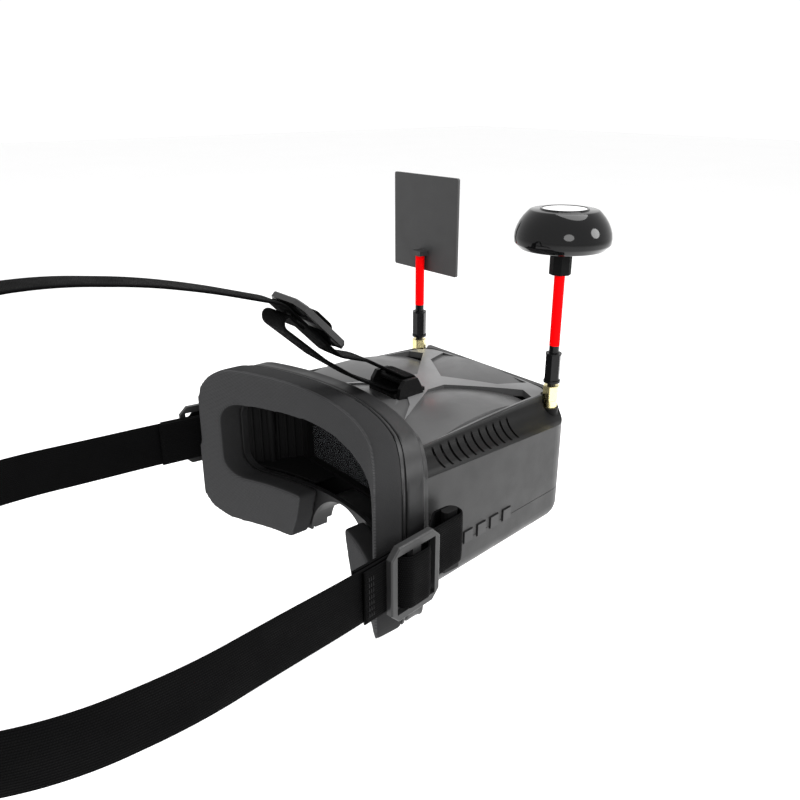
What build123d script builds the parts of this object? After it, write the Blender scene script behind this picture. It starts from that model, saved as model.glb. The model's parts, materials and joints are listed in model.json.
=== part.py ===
"""Video goggles for flying model aircraft, as an assembly of separate pieces.

Frame, in millimetres: +X to the wearer's right, +Y forward, away from the face, +Z up.
The origin is the middle of the foam's face side, where the goggles meet the wearer's face.
"""

import os
from math import copysign, cos, radians, sin, sqrt, tan

from build123d import *

os.makedirs("parts", exist_ok=True)

# ---------------------------------------------------------------- driving dimensions
face_radius = 132.0  # the wearer's face, seen from above
foam_thick = 13.0
foam_half_low, foam_half_high = 84.5, 81.5  # half widths at the foot and the top of the foam
foam_top, foam_bottom = 44.0, -52.0
window_half = 72.0  # eye window
window_top, window_bottom = 25.0, -22.5
nose_radius = 28.0  # arch over the nose
nose_z = -52.0  # height of the arch's centre
nose_depth = 42.0  # how far the arch reaches forward

wall = 2.2
shell_front = 122.5
shell_bottom = -39.0
shell_top = 33.0
seam_z = -18.8  # parting line between the two shells
seam_gap = 0.3
side_front, side_front_y = 66.0, 116.0  # half width of the side walls, and where it is measured
side_taper = 0.096  # widening per mm towards the face
antenna_x, antenna_y = 55.0, 114.9
corner_radius = 17.0
bottom_radius = 10.0
band_width = 13.0  # concave band between side wall and top cover
ledge_rear, ledge_front = 25.6, 18.9  # height of the band's lower edge

star_y, star_top = 70.0, 35.0
cover_floor = 29.4
cover_dome = 900.0  # radius of the star's faint crown
cover_rim = 1.6  # shell left standing around the cover
cover_rear = 159.4  # radius of the cover's rear edge about the face axis

webbing, top_webbing = 25.5, 20.0  # widths of the side and top straps
webbing_thick = 1.6
strap_z = -3.7
layer_gap = 0.35

button_size, button_gap = 6.2, 0.5
button_pitch, button_first, button_z = 10.1, 36.3, -17.0
button_travel, button_proud = 0.5, 0.8

socket_top = 25.7  # top face of the corner boss
nut_low, nut_high = 30.0, 38.0
nut_flats = 8.0
sleeve_low, sleeve_high, neck_high = 40.0, 56.5, 60.7
sleeve_radius, stem_radius = 3.7, 2.75
thread_radius, ferrule_radius, running_gap = 3.1, 2.2, 0.06
patch_stem_high, mushroom_stem_high = 92.0, 99.0

parts = []


def keep(builder, name):
    """Label a finished piece and remember it for export."""
    builder.part.label = name
    parts.append((name, builder.part))


def half_width(y):
    """Half width of the shell's side walls at a distance y in front of the face."""
    return side_front + (side_front_y - y) * side_taper


# ---------------------------------------------------------------- shared outlines
def face_outline(grow):
    """Outline of the face side, grow mm larger than the foam, drawn in the XZ plane."""
    with BuildSketch(Plane.XZ) as outline:
        with BuildLine():
            Polyline(
                (-foam_half_low, foam_bottom),
                (foam_half_low, foam_bottom),
                (foam_half_high, foam_top),
                (-foam_half_high, foam_top),
                close=True,
            )
        make_face()
        fillet(outline.vertices().group_by(Axis.Z)[0], 20)
        fillet(outline.vertices().group_by(Axis.Z)[-1], 22)
        if grow:
            offset(amount=grow)
    return outline.sketch


def window_outline():
    """Eye window, with its bottom open to the nose between slanted ends."""
    with BuildSketch(Plane.XZ) as window:
        with BuildLine():
            Polyline(
                (-window_half, window_bottom),
                (window_half, window_bottom),
                (window_half, window_top - 3),
                (0, window_top + 1),
                (-window_half, window_top - 3),
                close=True,
            )
        make_face()
        fillet(window.vertices().filter_by(lambda v: abs(v.X) > 1), 11.5)
    return window.sketch


def nose_outline(radius):
    """Round arch over the nose, open downwards."""
    with BuildSketch(Plane.XZ) as arch:
        with Locations((0, nose_z)):
            Circle(radius)
        with Locations((0, nose_z - 20)):
            Rectangle(2 * radius, 40)
    return arch.sketch


def shell_section(y, inset):
    """Cross-section of the shell at y: flat floor, upright sides, concave band, flat top."""
    half = half_width(y) - inset
    ledge = ledge_rear + (ledge_front - ledge_rear) * y / shell_front - inset
    low, high = shell_bottom + inset, shell_top - inset
    shoulder = half - band_width
    with BuildSketch(Plane.XZ.offset(-y)) as section:
        with BuildLine():
            Polyline((0, low), (half, low), (half, ledge))
            middle = (half - 0.68 * band_width, ledge + 0.27 * (high - ledge))
            ThreePointArc((half, ledge), middle, (shoulder, high))
            Line((shoulder, high), (0, high))
            mirror(about=Plane.YZ)
        make_face()
    return section.sketch


def shell_blank(inset):
    """Solid of the shell's outside, or of its cavity when inset by the wall."""
    rear = -24.0
    with BuildPart() as blank:
        add(shell_section(rear, inset))
        add(shell_section(shell_front, inset))
        loft(ruled=True)
        with BuildSketch(Plane.XY.offset(-80)) as plan:
            front = shell_front - inset
            with BuildLine():
                Polyline(
                    (-half_width(rear) + inset, rear),
                    (half_width(rear) - inset, rear),
                    (half_width(front) - inset, front),
                    (-half_width(front) + inset, front),
                    close=True,
                )
            make_face()
            fillet(plan.vertices().group_by(Axis.Y)[-1], corner_radius - inset)
        extrude(amount=160, mode=Mode.INTERSECT)
        rim = blank.faces().sort_by(Axis.Z)[0].edges().filter_by(lambda e: e.center().Y > rear + 1)
        fillet(rim, bottom_radius - inset)
    return blank.part


outer_blank = shell_blank(0)
inner_blank = shell_blank(wall)


def cover_outline(inset):
    """Plan of the top cover, inset from the edge of the concave band."""
    front = shell_front - 3.5 - inset
    rear = 12.0
    reach = band_width + cover_rim + inset
    with BuildSketch(Plane.XY.offset(cover_floor)) as plan:
        with BuildLine():
            Polyline(
                (-half_width(rear) + reach, rear),
                (half_width(rear) - reach, rear),
                (half_width(front) - reach, front),
                (-half_width(front) + reach, front),
                close=True,
            )
        make_face()
        fillet(plan.vertices().group_by(Axis.Y)[-1], 10)
        with Locations((0, -face_radius)):
            Circle(cover_rear + inset, mode=Mode.SUBTRACT)
    return plan.sketch


# ---------------------------------------------------------------- face side
def face_slab(outline, inner, outer):
    """Curved plate between two radii about the face axis, cut to an outline in XZ."""
    with BuildPart() as slab:
        with BuildSketch(Plane.XY.offset(-70)):
            with Locations((0, -face_radius)):
                Circle(outer)
                Circle(inner, mode=Mode.SUBTRACT)
        extrude(amount=130)
        extrude(outline, amount=45, both=True, mode=Mode.INTERSECT)
    return slab.part


foam_blank = face_slab(face_outline(0), face_radius, face_radius + foam_thick)
with BuildPart() as face_foam:
    add(foam_blank)
    extrude(window_outline(), amount=60, both=True, mode=Mode.SUBTRACT)
    with BuildSketch(Plane.XZ):
        with BuildLine():
            Polyline(
                (-20, window_bottom + 3),
                (-21, window_bottom),
                (-25, -39),
                (-33, -60),
                (33, -60),
                (25, -39),
                (21, window_bottom),
                (20, window_bottom + 3),
                close=True,
            )
        make_face()
    extrude(amount=60, both=True, mode=Mode.SUBTRACT)
keep(face_foam, "face_foam")

flange_inner = face_radius + foam_thick
flange_plate = face_slab(face_outline(-2.4), flange_inner, flange_inner + 3)
flange_rings = [
    face_slab(face_outline(-1.0), flange_inner, flange_inner + 1.4),
    face_slab(face_outline(-1.6), flange_inner + 2.4, flange_inner + 10.5),
    face_slab(face_outline(-5.5), flange_inner + 10.5, flange_inner + 13.5),
]
with BuildPart() as face_flange:
    add(flange_rings)
    add(outer_blank, mode=Mode.SUBTRACT)
    add(flange_plate)
    extrude(window_outline(), amount=60, both=True, mode=Mode.SUBTRACT)
    extrude(nose_outline(nose_radius), amount=60, both=True, mode=Mode.SUBTRACT)
keep(face_flange, "face_flange")

# ---------------------------------------------------------------- shells
shell_rear = flange_inner + 3  # radius of the face that the shells butt against

with BuildPart() as shell_walls:
    add(outer_blank)
    add(inner_blank, mode=Mode.SUBTRACT)
    with Locations((0, -face_radius, 0)):
        Cylinder(shell_rear, 200, mode=Mode.SUBTRACT)

top_side = (Align.CENTER, Align.CENTER, Align.MIN)

post_spots = [(side * (half_width(y) - 6.5), y) for y in (22.0, 84.0) for side in (-1, 1)]
post_radius, post_hole, post_top = 3.2, 1.25, 5.0
vent_count, vent_pitch, vent_first, vent_width = 11, 5.6, 21.5, 1.4


def wall_plane(y, z, side):
    """Plane on a side wall: x forward along the wall, z outward. side is 1 right, -1 left."""
    origin = (side * half_width(y), y, z)
    return Plane(origin=origin, x_dir=(-side * side_taper, 1, 0), z_dir=(side, side_taper, 0))


button_planes = [wall_plane(button_first + i * button_pitch, button_z, 1) for i in range(4)]
video_plane = wall_plane(103.8, -8.0, -1)
power_plane = wall_plane(92.8, -8.0, -1)


def wall_cut(plane, size, round_hole=False):
    """Cutter through a side wall, square or round."""
    with BuildPart() as cutter:
        with BuildSketch(plane.offset(-4)):
            if round_hole:
                Circle(size / 2)
            else:
                Rectangle(size, size)
        extrude(amount=8)
    return cutter.part


button_cuts = [wall_cut(plane, button_size + 2 * button_gap) for plane in button_planes]
jack_cuts = [wall_cut(video_plane, 7.2, True), wall_cut(power_plane, 9.4, True)]

antenna_spots = [(-antenna_x, antenna_y), (antenna_x, antenna_y)]
pocket_radius = 5.5  # round pocket that each coupling nut stands in

with BuildPart() as antenna_cups:
    for x, y in antenna_spots:
        with Locations((x, y, socket_top - 2)):
            Cylinder(pocket_radius + 1.8, 12, align=top_side)
    add(outer_blank, mode=Mode.INTERSECT)
    extrude(cover_outline(-0.2), amount=10, mode=Mode.SUBTRACT)

with BuildPart() as upper_shell:
    add(shell_walls.part)
    with Locations((0, 0, seam_z + seam_gap / 2)):
        Box(400, 500, 100, align=top_side, mode=Mode.INTERSECT)
    extrude(cover_outline(-0.2), amount=10, mode=Mode.SUBTRACT)
    extrude(cover_outline(-1.0), amount=-2)
    extrude(cover_outline(1.4), amount=-6, mode=Mode.SUBTRACT)
    add(antenna_cups.part)
    for i in range(vent_count):
        y = vent_first + i * vent_pitch
        for side in (-1, 1):
            with Locations((side * (half_width(y) - 7.6), y, 20)):
                Box(9.6, vent_width, 12, align=top_side, mode=Mode.SUBTRACT)
    for x, y in antenna_spots:
        with Locations((x, y, 12)):
            Cylinder(4.6, socket_top - 12, align=top_side)
            Cylinder(thread_radius + 0.2, socket_top - 12, align=top_side, mode=Mode.SUBTRACT)
        with Locations((x, y, socket_top)):
            Cylinder(pocket_radius, 12, align=top_side, mode=Mode.SUBTRACT)
    for x, y in post_spots:
        with Locations((x, y, seam_z + seam_gap / 2)):
            Cylinder(post_radius, post_top - seam_z, align=top_side)
            Cylinder(post_hole, 14, align=top_side, mode=Mode.SUBTRACT)
        with Locations((x + copysign(3.7, x), y, seam_z + seam_gap / 2)):
            Box(3.6, 2.4, post_top - seam_z, align=top_side)
    add(button_cuts, mode=Mode.SUBTRACT)
    add(jack_cuts, mode=Mode.SUBTRACT)
keep(upper_shell, "upper_shell")

with BuildPart() as nose_wall:
    extrude(nose_outline(nose_radius + wall), amount=-nose_depth - wall)
    with Locations((0, -face_radius, 0)):
        Cylinder(shell_rear, 200, mode=Mode.SUBTRACT)
    add(outer_blank, mode=Mode.INTERSECT)

with BuildPart() as lower_shell:
    add(shell_walls.part)
    add(nose_wall.part)
    with BuildSketch(Plane.XZ) as nose_cut:
        add(nose_outline(nose_radius))
    extrude(amount=-nose_depth, mode=Mode.SUBTRACT)
    with Locations((0, 0, seam_z - seam_gap / 2)):
        Box(400, 500, 100, align=(Align.CENTER, Align.CENTER, Align.MAX), mode=Mode.INTERSECT)
    for x, y in post_spots:
        with Locations((x, y, shell_bottom)):
            Cylinder(post_radius, seam_z - seam_gap / 2 - shell_bottom, align=top_side)
            Cylinder(post_hole, 60, align=top_side, mode=Mode.SUBTRACT)
            Cylinder(2.6, 4.2, align=top_side, mode=Mode.SUBTRACT)
    add(outer_blank, mode=Mode.INTERSECT)
    add(button_cuts, mode=Mode.SUBTRACT)
keep(lower_shell, "lower_shell")

with BuildPart() as case_screws:
    for x, y in post_spots:
        with Locations((x, y, shell_bottom + 2.4)):
            Cylinder(2.4, 1.6, align=top_side)
            Cylinder(post_hole - 0.05, 22, align=top_side)
keep(case_screws, "case_screws")

# ---------------------------------------------------------------- top cover
side_panel = [(11.5, 64), (11.5, 76), (31, 96), (42, 107), (60, 100), (70, 60), (70, 8), (46, 8), (25, 43)]
front_panel = [(0, 84), (28, 101), (38, 125), (-38, 125), (-28, 101)]
rear_panel = [(0, 57), (21, 43), (36, 26), (36, 8), (-36, 8), (-36, 26), (-21, 43)]


def prism(outline):
    """Upright block over a panel's outline, inside the cover's edge."""
    with BuildPart() as block:
        with BuildSketch(Plane.XY.offset(cover_floor)):
            with BuildLine():
                Polyline(*outline, close=True)
            make_face()
        extrude(amount=20)
        extrude(cover_outline(1.2), amount=20, mode=Mode.INTERSECT)
    return block.part


def pillow(outline, centre, crown, radius):
    """Crowned panel: its block under a large sphere that peaks over centre."""
    with BuildPart() as panel:
        add(prism(outline))
        with Locations((*centre, crown - radius)):
            Sphere(radius, mode=Mode.INTERSECT)
    return panel.part


left_panel = [(-x, y) for x, y in side_panel]
pillows = [
    pillow(side_panel, (39, 60), 36.2, 140),
    pillow(left_panel, (-39, 60), 36.2, 140),
    pillow(front_panel, (0, 112), 35.2, 170),
    pillow(rear_panel, (0, 34), 35.2, 150),
]
panel_blocks = [prism(outline) for outline in (side_panel, left_panel, front_panel, rear_panel)]

with BuildPart() as top_cover:
    extrude(cover_outline(0), amount=10)
    with Locations((0, star_y, star_top - cover_dome)):
        Sphere(cover_dome, mode=Mode.INTERSECT)
    add(panel_blocks, mode=Mode.SUBTRACT)
    add(pillows)
    with Locations((0, 86, cover_floor)):
        Box(112, 12, 1.8, align=top_side, mode=Mode.SUBTRACT)
    for x, y in antenna_spots:
        with Locations((x, y, cover_floor)):
            Cylinder(pocket_radius, 10, align=top_side, mode=Mode.SUBTRACT)
keep(top_cover, "top_cover")

# ---------------------------------------------------------------- inside: optics
lens_y = 28.0
shroud_side = [(74.0, -3.5), (60.8, lens_y), (59.4, lens_y), (72.4, -3.5)]
shroud_low, shroud_high = -21.6, 22.6
flute_count = 7

with BuildPart() as eye_shroud:
    with BuildSketch(Plane.XY.offset(shroud_low)):
        with BuildLine():
            Polyline(*shroud_side, close=True)
        make_face()
        for i in range(flute_count):
            share = (i + 0.7) / flute_count
            x = shroud_side[3][0] + share * (shroud_side[2][0] - shroud_side[3][0])
            with Locations((x, -3.5 + share * (lens_y + 3.5))):
                Circle(1.0)
        mirror(about=Plane.YZ)
    extrude(amount=shroud_high - shroud_low)
    for side in (-1, 1):
        with Locations((side * 66.2, 9.4, -3.0)):
            Cylinder(2.6, shroud_high + 3, align=top_side)
        with Locations((side * 66.2, 9.4, shroud_low)):
            Cylinder(2.0, 20, align=top_side)
    with Locations((0, 16, 26.2)):
        Box(116, 2 * (lens_y - 16), 1.1, align=top_side)
    with BuildSketch(Plane.XZ.offset(1.2 - lens_y)):
        with Locations((0, 2.85)):
            Rectangle(120.8, 48.9)
        with Locations((0, 2)):
            Rectangle(110, 43, mode=Mode.SUBTRACT)
    extrude(amount=-1.2)
    with BuildSketch(Plane.XY.offset(shroud_low)):
        for side in (-1, 1):
            with BuildLine():
                Polyline(
                    (side * 27, lens_y),
                    (side * 60, lens_y),
                    (side * 73.6, -3.5),
                    (side * 27, -3.5),
                    close=True,
                )
            make_face()
    extrude(amount=1.2)
    with Locations((0, -face_radius, 0)):
        Cylinder(shell_rear, 200, mode=Mode.SUBTRACT)
    extrude(nose_outline(nose_radius + wall + 0.4), amount=-60, mode=Mode.SUBTRACT)
keep(eye_shroud, "eye_shroud")

with BuildPart() as lens_frame:
    with BuildSketch(Plane.XZ.offset(-lens_y - 0.2)):
        with Locations((0, -5.2)):
            Rectangle(137, 62.6)
        with Locations((0, 2)):
            Rectangle(110, 43, mode=Mode.SUBTRACT)
        add(nose_outline(nose_radius + wall + 0.4), mode=Mode.SUBTRACT)
    extrude(amount=-3)
    add(inner_blank, mode=Mode.INTERSECT)
    add(upper_shell.part, mode=Mode.SUBTRACT)
keep(lens_frame, "lens_frame")

with BuildPart() as fresnel_lens:
    with Locations((0, lens_y + 4.4, 2)):
        Box(118, 2, 44)
keep(fresnel_lens, "fresnel_lens")

panel_y, panel_z = 84.0, -3.0
with BuildPart() as display_panel:
    with Locations((0, panel_y + 1.45, panel_z)):
        Box(105.5, 2.9, 67.2)
keep(display_panel, "display_panel")

with BuildPart() as display_bracket:
    with Locations((0, panel_y + 4.1, panel_z)):
        Box(104, 2, 62)
        Box(80, 2, 44, mode=Mode.SUBTRACT)
    for x in (-46, 46):
        for z in (-27, 14):
            with Locations(Plane((x, panel_y + 5.1, z), z_dir=(0, 1, 0))):
                Cylinder(2.5, 6.4, align=top_side)
keep(display_bracket, "display_bracket")

# ---------------------------------------------------------------- inside: electronics
board_y = panel_y + 11.5
with BuildPart() as main_board:
    with Locations((0, board_y + 0.8, -5)):
        Box(100, 1.6, 54)
keep(main_board, "main_board")

for name, x in (("receiver_left", -30), ("receiver_right", 30)):
    with BuildPart() as receiver:
        with Locations((x, board_y + 3.7, 9.5)):
            Box(23, 4.2, 23)
        fillet(receiver.edges().filter_by(Axis.Y), 1)
    keep(receiver, name)

cell_radius, cell_length, cell_y = 9.2, 65.0, 109.8
with BuildPart() as battery_cells:
    for z in (-26.5, -7.5):
        with Locations(Plane((-cell_length / 2, cell_y, z), z_dir=(1, 0, 0))):
            Cylinder(cell_radius, cell_length, align=top_side)
keep(battery_cells, "battery_cells")

with BuildPart() as battery_tray:
    for x in (-34.4, 34.4):
        with Locations((x, 110.6, -13.5)):
            Box(1.6, 18.2, 31)
    with Locations((0, shell_front - wall - 0.6, -13.5)):
        Box(70.4, 1.0, 31)
keep(battery_tray, "battery_tray")

button_middle = wall_plane(button_first + 1.5 * button_pitch, button_z, 1)
button_x = [(i - 1.5) * button_pitch * sqrt(1 + side_taper**2) for i in range(4)]
with BuildPart() as button_board:
    with BuildSketch(button_middle.offset(-11.1)):
        with Locations((0, 2.5)):
            Rectangle(38, 17)
    extrude(amount=1.6)
    with BuildSketch(button_middle.offset(-9.5)):
        with Locations((-14, 8), (14, 8)):
            Circle(1.8)
    extrude(amount=9.5 - wall)
keep(button_board, "button_board")

with BuildPart() as tact_switches:
    with BuildSketch(button_middle.offset(-9.5)):
        with Locations(*[(x, 0) for x in button_x]):
            Rectangle(6, 6)
    extrude(amount=3)
    with BuildSketch(button_middle.offset(-6.5)):
        with Locations(*[(x, 0) for x in button_x]):
            Circle(1.6)
    extrude(amount=0.5)
keep(tact_switches, "tact_switches")

for i, plane in enumerate(button_planes, start=1):
    with BuildPart() as button:
        with BuildSketch(plane.offset(-3.0)):
            Rectangle(button_size, button_size)
        extrude(amount=3.0 + button_proud)
        with BuildSketch(plane.offset(-wall - 1.5)):
            Rectangle(8.4, 8.4)
        extrude(amount=1.2)
        with BuildSketch(plane.offset(-5.2)):
            Rectangle(3, 3)
        extrude(amount=2)
    keep(button, f"button_{i}")

with BuildPart() as video_jack:
    with BuildSketch(video_plane.offset(-14)):
        Rectangle(8, 10)
    extrude(amount=14 - wall - 0.4)
    with BuildSketch(video_plane.offset(-4)):
        Circle(3.5)
    extrude(amount=4.5)
    with BuildSketch(video_plane.offset(0.5)):
        Circle(1.8)
    extrude(amount=-13.5, mode=Mode.SUBTRACT)
keep(video_jack, "video_jack")

with BuildPart() as power_jack:
    with BuildSketch(power_plane.offset(-12)):
        Rectangle(10, 10)
    extrude(amount=12 - wall - 0.2)
    with BuildSketch(power_plane.offset(-4)):
        Circle(4.6)
    extrude(amount=4.5)
    with BuildSketch(power_plane.offset(0.5)):
        Circle(3.1)
    extrude(amount=-10, mode=Mode.SUBTRACT)
    with BuildSketch(power_plane.offset(-10)):
        Circle(1.0)
    extrude(amount=9)
keep(power_jack, "power_jack")

with BuildPart() as jack_board:
    with Locations((-57.2, 98, -13.8)):
        Box(10, 20, 1.4)
keep(jack_board, "jack_board")

# ---------------------------------------------------------------- antennas
for name, x in (("left", -antenna_x), ("right", antenna_x)):
    with BuildPart() as socket:
        with Locations((x, antenna_y, 8)):
            Cylinder(thread_radius, 26, align=top_side)
        with Locations((x, antenna_y, 9.5)):
            Cylinder(3.6, 2.5, align=top_side)
        with Locations((x, antenna_y, socket_top)):
            Cylinder(3.7, 4, align=top_side)
        with Locations((x, antenna_y, 30)):
            Cylinder(ferrule_radius + running_gap, 5, align=top_side, mode=Mode.SUBTRACT)
    keep(socket, f"socket_{name}")

    with BuildPart() as nut:
        with BuildSketch(Plane.XY.offset(nut_low)):
            with Locations((x, antenna_y)):
                RegularPolygon(nut_flats / 2, 6, major_radius=False)
        extrude(amount=nut_high - nut_low)
        with Locations((x, antenna_y, nut_low)):
            Cylinder(4.45, nut_high - nut_low, align=top_side, mode=Mode.INTERSECT)
            Cylinder(thread_radius + running_gap, 5, align=top_side, mode=Mode.SUBTRACT)
            Cylinder(ferrule_radius + running_gap, 9, align=top_side, mode=Mode.SUBTRACT)
    keep(nut, f"coupling_nut_{name}")

    with BuildPart() as sleeve:
        with Locations((x, antenna_y, 31.5)):
            Cylinder(ferrule_radius, sleeve_low - 31.5, align=top_side)
        with BuildSketch(Plane.XY.offset(sleeve_low)):
            with Locations((x, antenna_y)):
                RegularPolygon(sleeve_radius, 6, major_radius=False)
        extrude(amount=sleeve_high - sleeve_low)
        with Locations((x, antenna_y, sleeve_low)):
            Cylinder(4.5, 1.2, align=top_side)
        with Locations((x, antenna_y, sleeve_high - 0.8)):
            Cylinder(4.3, 0.8, align=top_side)
        with Locations((x, antenna_y, sleeve_high)):
            Cylinder(stem_radius - 0.1, neck_high - sleeve_high, align=top_side)
    keep(sleeve, f"crimp_sleeve_{name}")

for name, x, high in (("left", -antenna_x, patch_stem_high), ("right", antenna_x, mushroom_stem_high)):
    with BuildPart() as stem:
        with Locations((x, antenna_y, neck_high)):
            Cylinder(stem_radius, high - neck_high, align=top_side)
    keep(stem, f"antenna_stem_{name}")

patch_x, patch_y, patch_z = -54.1, antenna_y + stem_radius + 0.75, 111.2
with BuildPart() as patch_plate:
    with Locations((patch_x, patch_y, patch_z)):
        Box(57.4, 1.5, 57.3)
    fillet(patch_plate.edges().filter_by(Axis.Y), 1.2)
keep(patch_plate, "patch_plate")

with BuildPart() as patch_block:
    with Locations((-antenna_x, antenna_y - 3.5, patch_stem_high)):
        Box(8, 3.5 + stem_radius, 3, align=(Align.CENTER, Align.MIN, Align.MIN))
keep(patch_block, "patch_block")

dome_low, dome_high, dome_radius = 112.2, 131.6, 24.5
crown_radius, ring_radius = 17.3, 12.3  # flat crown, and the ring standing on it

with BuildPart() as mushroom_collar:
    with BuildSketch(Plane.XY.offset(mushroom_stem_high)):
        with Locations((antenna_x, antenna_y)):
            RegularPolygon(5.2, 8, major_radius=False)
    extrude(amount=dome_low - mushroom_stem_high)
keep(mushroom_collar, "mushroom_collar")

with BuildPart() as mushroom_dome:
    with BuildSketch(Plane((antenna_x, antenna_y, 0), x_dir=(1, 0, 0), z_dir=(0, -1, 0))):
        with BuildLine():
            Polyline((0, dome_low), (21.4, dome_low), (dome_radius - 0.3, dome_low + 2.9))
            Spline(
                (dome_radius - 0.3, dome_low + 2.9),
                (dome_radius, dome_low + 6),
                (22.3, dome_low + 13.5),
                (crown_radius, dome_high),
                tangents=((0.1, 1), (-1, 0.9)),
            )
            Polyline(
                (crown_radius, dome_high),
                (ring_radius, dome_high),
                (ring_radius, dome_high + 0.8),
                (ring_radius - 1.1, dome_high + 0.8),
                (ring_radius - 1.1, dome_high),
                (0, dome_high),
                (0, dome_low),
            )
        make_face()
        with BuildLine():
            Polyline((0, dome_low + 1.6), (20.6, dome_low + 1.6), (22.6, dome_low + 3.6))
            Spline(
                (22.6, dome_low + 3.6),
                (22.8, dome_low + 6),
                (20.8, dome_low + 12.8),
                (crown_radius - 1.6, dome_high - 1.8),
                tangents=((0.1, 1), (-1, 0.9)),
            )
            Polyline((crown_radius - 1.6, dome_high - 1.8), (0, dome_high - 1.8), (0, dome_low + 1.6))
        make_face(mode=Mode.SUBTRACT)
    revolve(axis=Axis((antenna_x, antenna_y, 0), (0, 0, 1)))
keep(mushroom_dome, "mushroom_dome")

with BuildPart() as mushroom_plug:
    with Locations((antenna_x, antenna_y, dome_high)):
        Cylinder(ring_radius - 1.3, 0.5, align=top_side)
keep(mushroom_plug, "mushroom_plug")

# ---------------------------------------------------------------- straps
run_side = (90.3, -2.0)  # a point on the side strap's straight run, seen from above
run_angle = 97.0  # its direction in plan, degrees
strap_u = (cos(radians(run_angle)) * -1, -sin(radians(run_angle)))
buckle_at = 16.8  # distance along the run to the buckle's middle


def on_run(distance, outward=0.0):
    """Plan point on the right strap's straight run, outward of its centre line."""
    x = run_side[0] + strap_u[0] * distance - strap_u[1] * outward
    return (x, run_side[1] + strap_u[1] * distance + strap_u[0] * outward)


def soft_radii(points):
    """Fillet radius for each corner of a route: as large as its two runs allow."""
    radii = []
    for before, corner, after in zip(points, points[1:], points[2:]):
        run_in = Vector(*corner) - Vector(*before)
        run_out = Vector(*after) - Vector(*corner)
        turn = radians(max(run_in.get_angle(run_out), 0.5))
        radii.append(0.45 * min(run_in.length, run_out.length) / tan(turn / 2))
    return radii


inner = -webbing_thick - layer_gap
side_route = [
    on_run(46, inner),
    on_run(0.5, inner),
    (79.2, 8.5),
    (79.2, 19.6),
    on_run(-21.7),
    on_run(54),
    (99.6, -86),
    (103.6, -122),
    (101, -163),
    (84, -203),
    (52, -227),
    (22, -236),
    (0, -236),
]
side_radii = [7, 5, 3.9, 3.9] + soft_radii(side_route)[4:]

with BuildPart() as side_strap_right:
    with BuildLine(Plane.XY.offset(strap_z)) as route:
        FilletPolyline(*side_route, radius=side_radii)
    start = Plane(origin=route.line @ 0, x_dir=(0, 0, 1), z_dir=route.line % 0)
    with BuildSketch(start):
        Rectangle(webbing, webbing_thick)
    sweep()
keep(side_strap_right, "side_strap_right")

top_angle = 46.0  # rise of the top strap's straight run
top_middle = (-6.5, 80.5)  # its middle, in the plane of symmetry


def on_top(distance, outward=0.0):
    """Point (y, z) on the top strap's straight run, outward of its centre line."""
    rise, fall = sin(radians(top_angle)), cos(radians(top_angle))
    y = top_middle[0] - fall * distance + rise * outward
    return (y, top_middle[1] + rise * distance + fall * outward)


top_route = [
    on_top(6, -2.2),
    on_top(20, -2.6),
    on_top(15, -8.5),
    (0, 64.5),
    (20, 50),
    (42, 38.2),
    (57, 38.2),
    (57, 44.4),
    (49.5, 44.6),
    (26.2, 58.7),
    on_top(-22),
    on_top(22),
    (-57, 107.6),
    (-84, 114.4),
    (-118, 119.6),
    (-145, 120),
    (-183, 106),
    (-215, 79),
    (-234, 43),
    (-237.9, 12),
    (-237.9, -18),
]
top_radii = [2.4, 4.4, 30, 30, 20, 3.05, 3.05, 8, 20, 10, 14] + soft_radii(top_route)[11:-1] + [30]
with BuildPart() as top_strap:
    with BuildLine(Plane.YZ) as route:
        FilletPolyline(*top_route, radius=top_radii)
    start = Plane(origin=route.line @ 0, x_dir=(1, 0, 0), z_dir=route.line % 0)
    with BuildSketch(start):
        Rectangle(top_webbing, webbing_thick)
    sweep()
keep(top_strap, "top_strap")

with BuildPart() as rear_patch:
    with Locations((0, -239.6, strap_z)):
        Box(34, 1.6, 34)
    fillet(rear_patch.edges().filter_by(Axis.Y), 4)
keep(rear_patch, "rear_patch")

# buckle planes: x along the strap towards its free end, z away from the head
right_x, right_y = on_run(buckle_at, webbing_thick / 2)
right_buckle_plane = Plane(
    origin=(right_x, right_y, strap_z), x_dir=(*strap_u, 0), z_dir=(-strap_u[1], strap_u[0], 0)
)
top_y, top_z = on_top(0, webbing_thick / 2)
top_buckle_plane = Plane(
    origin=(0, top_y, top_z),
    x_dir=(0, -cos(radians(top_angle)), sin(radians(top_angle))),
    z_dir=(0, sin(radians(top_angle)), cos(radians(top_angle))),
)

frame_thick, frame_lift = 3.2, 2.1
middle_bar, end_bar = 5.0, 3.3


def strap_buckle(plane, length, width, slot):
    """Three-bar buckle with chamfered corners and two webbing slots."""
    slot_length = (length - middle_bar - 2 * end_bar) / 2
    slot_at = (middle_bar + slot_length) / 2
    with BuildPart() as frame:
        with BuildSketch(plane.offset(frame_lift)) as face:
            Rectangle(length, width)
            chamfer(face.vertices(), 4.5)
            with Locations((-slot_at, 0), (slot_at, 0)):
                Rectangle(slot_length, slot, mode=Mode.SUBTRACT)
        extrude(amount=frame_thick)
        outside = frame.faces().sort_by(Axis(plane.origin, plane.z_dir))[-1]
        fillet(outside.outer_wire().edges(), 0.9)
    return frame.part


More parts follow.
